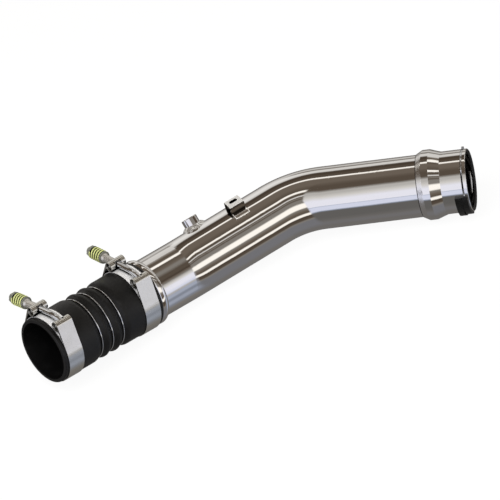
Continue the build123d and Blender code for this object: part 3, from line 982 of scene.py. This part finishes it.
def coated(name, fresh, worn, gloss, metal, speckle, shut):
    material, tree, shader = principled(name, Metallic=metal)
    effect = grouped(tree, coat_wear, Speckle=speckle)
    patches = effect.outputs["Patches"]
    grit = effect.outputs["Grit"]
    shadow = [c * SHADOW_SHARE for c in fresh]
    colour = add(tree, "ShaderNodeMix", data_type="RGBA")
    colour.inputs["A"].default_value = tone(*shadow)
    join(
        tree,
        (daylight(tree, gaps, Reach=0.005, Shut=shut, Open=0.95), colour.inputs["Factor"]),
        (shade_and_wear_tint(tree, patches, fresh, worn), colour.inputs["B"]),
        (colour.outputs["Result"], shader.inputs["Base Color"]),
        (ranged(tree, patches, 0.0, 1.0, gloss, gloss + 0.15), shader.inputs["Roughness"]),
        (bumped(tree, grit, 0.1, 0.0001, rounded(tree, 0.0002)), shader.inputs["Normal"]),
    )
    return material


spring_coat = coated("spring_green", LIME, DULL_LIME, gloss=0.3, metal=0.0, speckle=160.0, shut=0.66)
nut_coat = coated("nut_grey", OLIVE_GREY, DARK_OLIVE, gloss=0.4, metal=0.5, speckle=300.0, shut=0.25)
for end in ("front", "rear"):
    dress(spring_coat, "spring_" + end)
    dress(nut_coat, "nut_" + end, "spring_seat_" + end)
print("coats", spring_coat.name, nut_coat.name)

# %% [markdown]
# ## Black parts of the coupler
# Seal and lip are matt rubber, the lock block is moulded plastic with the fine
# spark-eroded texture of its tool. Both are black, so the difference is in gloss
# and grain alone. A shared group gives the cloudy bloom and the grain of the skin.

# %% Rubber and plastic materials
BLOOM = 9
moulded, moulded_in, moulded_out = new_group("moulded_skin", [("Fineness", 1800.0)], ["Cloud", "Grain"])
space = add(moulded, "ShaderNodeTexCoord").outputs["Object"]
join(
    moulded,
    (noise(moulded, space, 90.0, 4.0), moulded_out.inputs["Cloud"]),
    (noise(moulded, space, moulded_in.outputs["Fineness"], 3.0, 0.7), moulded_out.inputs["Grain"]),
)


def black(name, colour, gloss, fineness):
    material, tree, shader = principled(name)
    effect = grouped(tree, moulded, Fineness=fineness)
    cloud = effect.outputs["Cloud"]
    tint = add(tree, "ShaderNodeMix", data_type="RGBA")
    tint.inputs["A"].default_value = tone(*colour)
    tint.inputs["B"].default_value = tone(*[c + BLOOM for c in colour])
    skin = bumped(tree, effect.outputs["Grain"], 0.3, 0.0001, rounded(tree, 0.0003))
    join(
        tree,
        (ranged(tree, cloud, 0.45, 0.75), tint.inputs["Factor"]),
        (tint.outputs["Result"], shader.inputs["Base Color"]),
        (ranged(tree, cloud, 0.3, 0.7, gloss, gloss + 0.12), shader.inputs["Roughness"]),
        (skin, shader.inputs["Normal"]),
    )
    return material


seal_rubber = black("black_seal", (18, 18, 18), gloss=0.5, fineness=1800.0)
block_plastic = black("black_plastic", (9, 9, 9), gloss=0.26, fineness=2600.0)
dress(seal_rubber, "coupler_seal", "coupler_lip")
dress(block_plastic, "lock_block")
print("blacks", seal_rubber.name, block_plastic.name)

# %% [markdown]
# ## A welded bead around the port
# A hand-made TIG weld is a row of small overlapping coins. Like all the added pieces
# it is a grid of points: a row is one cross-section, and the rows follow each other
# along the piece. This function joins such rows into a mesh and fixes it to the pipe.

# %% Mesh from rows of points


def grid_mesh(name, rows, material, body="root", close=True):
    mesh = bpy.data.meshes.new(name)
    wide = len(rows[0])
    points = [p for row in rows for p in row]
    faces = []
    last = len(rows) if close else len(rows) - 1
    for i in range(last):
        k = (i + 1) % len(rows)
        for j in range(wide - 1):
            faces.append((i * wide + j, i * wide + j + 1, k * wide + j + 1, k * wide + j))
    mesh.from_pydata(points, [], faces)
    mesh.validate()
    shape = bmesh.new()
    shape.from_mesh(mesh)
    bmesh.ops.recalc_face_normals(shape, faces=shape.faces)
    shape.to_mesh(mesh)
    shape.free()
    mesh.polygons.foreach_set("use_smooth", [True] * len(mesh.polygons))
    mesh.materials.append(material)
    piece = bpy.data.objects.new(name, mesh)
    bpy.context.scene.collection.objects.link(piece)
    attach(piece, body)
    return piece


print("helper for grids of points is ready")

# %% [markdown]
# The bead is a strip that runs once around the port where it meets the tube. Each
# cross-section bulges between the two metals, and a saw-tooth wave around the ring
# gives the coins. The sizes are in millimetres, as in all the pieces that follow.

# %% Weld bead
PORT_R = 8.4
PORT_LEG = 4.3
PORT_RISE = 3.2
COINS = 22
COIN_LIFT = 0.6
COIN_BOW = 0.35
BEAD_SINK = 0.15
BEAD_BULGE = 0.1
AROUND = 360
ACROSS = 12


def on_tube(radius, turn):
    x = radius * math.cos(turn)
    y = radius * math.sin(turn)
    return Vector((x, y, math.sqrt(TUBE_R**2 - y * y)))


rows = []
for i in range(AROUND):
    turn = math.tau * i / AROUND
    outward = Vector((math.cos(turn), math.sin(turn), 0))
    leaning = (outward + Vector((0, 0, 1))).normalized()
    low = on_tube(PORT_R + PORT_LEG, turn) - Vector((0, 0, BEAD_SINK))
    high = on_tube(PORT_R, turn) + Vector((0, 0, PORT_RISE))
    bulge = (low + high) / 2 + leaning * BEAD_BULGE
    row = []
    for j in range(ACROSS + 1):
        s = j / ACROSS
        base = low * (1 - s) ** 2 + bulge * 2 * s * (1 - s) + high * s * s
        coin = (COINS * i / AROUND + COIN_BOW * math.sin(math.pi * s)) % 1.0
        lift = COIN_LIFT * (1 - coin) ** 0.7 * math.sin(math.pi * s) ** 0.6
        row.append(PORT @ ((base + leaning * lift) * MM))
    rows.append(row)
weld_metal = satin("weld_metal", (252, 252, 250), metal=0.85, gloss=0.08, grain=0.02, reach=0.003)
bead = grid_mesh("weld_bead", rows, weld_metal)
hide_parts("bung_weld")
print("bead faces", len(bead.data.polygons))

# %% [markdown]
# ## The bracket's foot
# The bracket's front wall ends in a narrow foot that lies on the tube. The bracket
# itself tells where: its widest flat face is the rear wall, so the front lies the
# other way, as far out as its farthest point. The foot is a thin plate bent to the
# tube, drawn as one loop of points, with a middle point at each end to close it.

# %% Bracket foot
FOOT_LENGTH = 15.6
FOOT_WIDTH = 7.6
FOOT_RISE = 0.8
FOOT_GAP = 0.02
FOOT_STEPS = 8

_, rear_way = flat_end("bracket")
wall_way = -rear_way
foot_up = wall_way.cross(RUN)
foot_up = foot_up * math.copysign(1.0, foot_up.z)
foot_middle = PORT.translation + RUN * (middle_of("bracket") - PORT.translation).dot(RUN)
bracket = nodes["bracket"]
bracket_points = [bracket.matrix_world @ corner.co for corner in bracket.data.vertices]
wall_reach = max((point - foot_middle).dot(wall_way) for point in bracket_points) / MM
foot_from = math.asin(wall_reach / TUBE_R)
foot_to = foot_from + FOOT_WIDTH / TUBE_R
half = FOOT_LENGTH / 2
middle_turn = (foot_from + foot_to) / 2


def beside_tube(radius, turn, along):
    spot = foot_up * math.cos(turn) + wall_way * math.sin(turn)
    return foot_middle + (spot * radius + RUN * along) * MM


turns = [foot_from + (foot_to - foot_from) * k / FOOT_STEPS for k in range(FOOT_STEPS + 1)]
loop = [(TUBE_R + FOOT_RISE, turn) for turn in turns]
loop += [(TUBE_R + FOOT_GAP, turn) for turn in reversed(turns)]
near_end, far_end = (beside_tube(TUBE_R + FOOT_RISE / 2, middle_turn, end) for end in (-half, half))
rows = []
for radius, turn in loop:
    rows.append([near_end, beside_tube(radius, turn, -half), beside_tube(radius, turn, half), far_end])
foot = grid_mesh("bracket_foot", rows, fitting_metal)
foot.data.polygons.foreach_set("use_smooth", [False] * len(foot.data.polygons))
print("foot from", round(math.degrees(foot_from), 1), "to", round(math.degrees(foot_to), 1), "degrees")

# %% [markdown]
# The foot is brazed on all round. The brazing is a thin bright cord along the four
# sides, thicker on the outer one. Its pale, mostly unmetallic colour is a painted
# highlight. Its ring of points stands square to the foot's edge, and at the corners it
# turns with the line from the middle of the foot.

# %% Brazing around the foot
THIN_CORD = 0.3
THICK_CORD = 0.75
SIDE_STEPS = 40
RING_STEPS = 10
corners = [(foot_from, -half), (foot_to, -half), (foot_to, half), (foot_from, half)]
rows = []
for (turn, along), (next_turn, next_along) in zip(corners, corners[1:] + corners[:1]):
    for i in range(SIDE_STEPS):
        share = i / SIDE_STEPS
        here = turn + (next_turn - turn) * share
        spot = along + (next_along - along) * share
        outward = (here - foot_from) / (foot_to - foot_from)
        ripple = 0.95 + 0.05 * math.sin(4 * math.tau * share)
        thick = (THIN_CORD + (THICK_CORD - THIN_CORD) * outward) * ripple
        away = Vector((spot / half, (here - middle_turn) / (foot_to - middle_turn))).normalized()
        row = []
        for j in range(RING_STEPS + 1):
            swing = math.tau * j / RING_STEPS
            side = math.cos(swing) * thick
            rise = FOOT_RISE / 2 + math.sin(swing) * thick
            row.append(beside_tube(TUBE_R + rise, here + side * away.y / TUBE_R, spot + side * away.x))
        rows.append(row)
# pale and mostly unmetallic: a painted highlight along the foot's edges
brazing_highlight_metal = satin("brazing_highlight_metal", (252, 248, 240), metal=0.25, gloss=0.2, grain=0.02, reach=0.0008)
brazing = grid_mesh("foot_brazing", rows, brazing_highlight_metal)
print("brazing faces", len(brazing.data.polygons))

# %% [markdown]
# ## Threads
# A thread is a ridge wound on a helix. Four points make its section, up one flank,
# over a narrow crest and down the other, and the section climbs by one pitch each
# turn. At both ends the ridge fades out over one turn. The same function makes the
# outside thread of the clamp bolts and the inside thread of the port.

# %% Helical threads
TURN_STEPS = 48
ROOT_HALF = 0.45
CREST_HALF = 0.08
LEAST_RIDGE = 0.02


def thread_piece(name, carrier, radii, span, pitch, material):
    root, crest = radii
    turns = (span[1] - span[0]) / pitch
    rows = []
    for i in range(int(turns * TURN_STEPS) + 1):
        turn = math.tau * i / TURN_STEPS
        height = span[0] + pitch * i / TURN_STEPS
        fade = min(1.0, i / TURN_STEPS, (turns * TURN_STEPS - i) / TURN_STEPS + LEAST_RIDGE)
        tip = root + (crest - root) * max(fade, LEAST_RIDGE)
        section = ((root, -ROOT_HALF), (tip, -CREST_HALF), (tip, CREST_HALF), (root, ROOT_HALF))
        row = []
        for radius, rise in section:
            point = Vector((radius * math.cos(turn), radius * math.sin(turn), height + rise * pitch))
            row.append(carrier @ (point * MM))
        rows.append(row)
    piece = grid_mesh(name, rows, material, close=False)
    return piece


BOLT_RADII = (2.98, 3.5)
BOLT_SPAN = (-15.1, -0.3)
BOLT_PITCH = 1.1
PORT_RADII = (4.36, 3.9)
PORT_SPAN = (33.0, 41.6)
PORT_PITCH = 0.94

for end, carrier in BOLTS.items():
    name = "bolt_thread_" + end
    piece = thread_piece(name, carrier, BOLT_RADII, BOLT_SPAN, BOLT_PITCH, thread_steel)
    print(piece.name, len(piece.data.polygons), "faces")
inner = thread_piece("port_thread", PORT, PORT_RADII, PORT_SPAN, PORT_PITCH, tube_metal)
print(inner.name, len(inner.data.polygons), "faces")

# %% [markdown]
# ## The size of the dressed model
# The dressed model must stay inside the CAD model's box. Its box is measured here,
# and its size is printed.

# %% Measure and finish
low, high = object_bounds()
print("visual size in mm", [round(c * 1000, 1) for c in (high - low)])
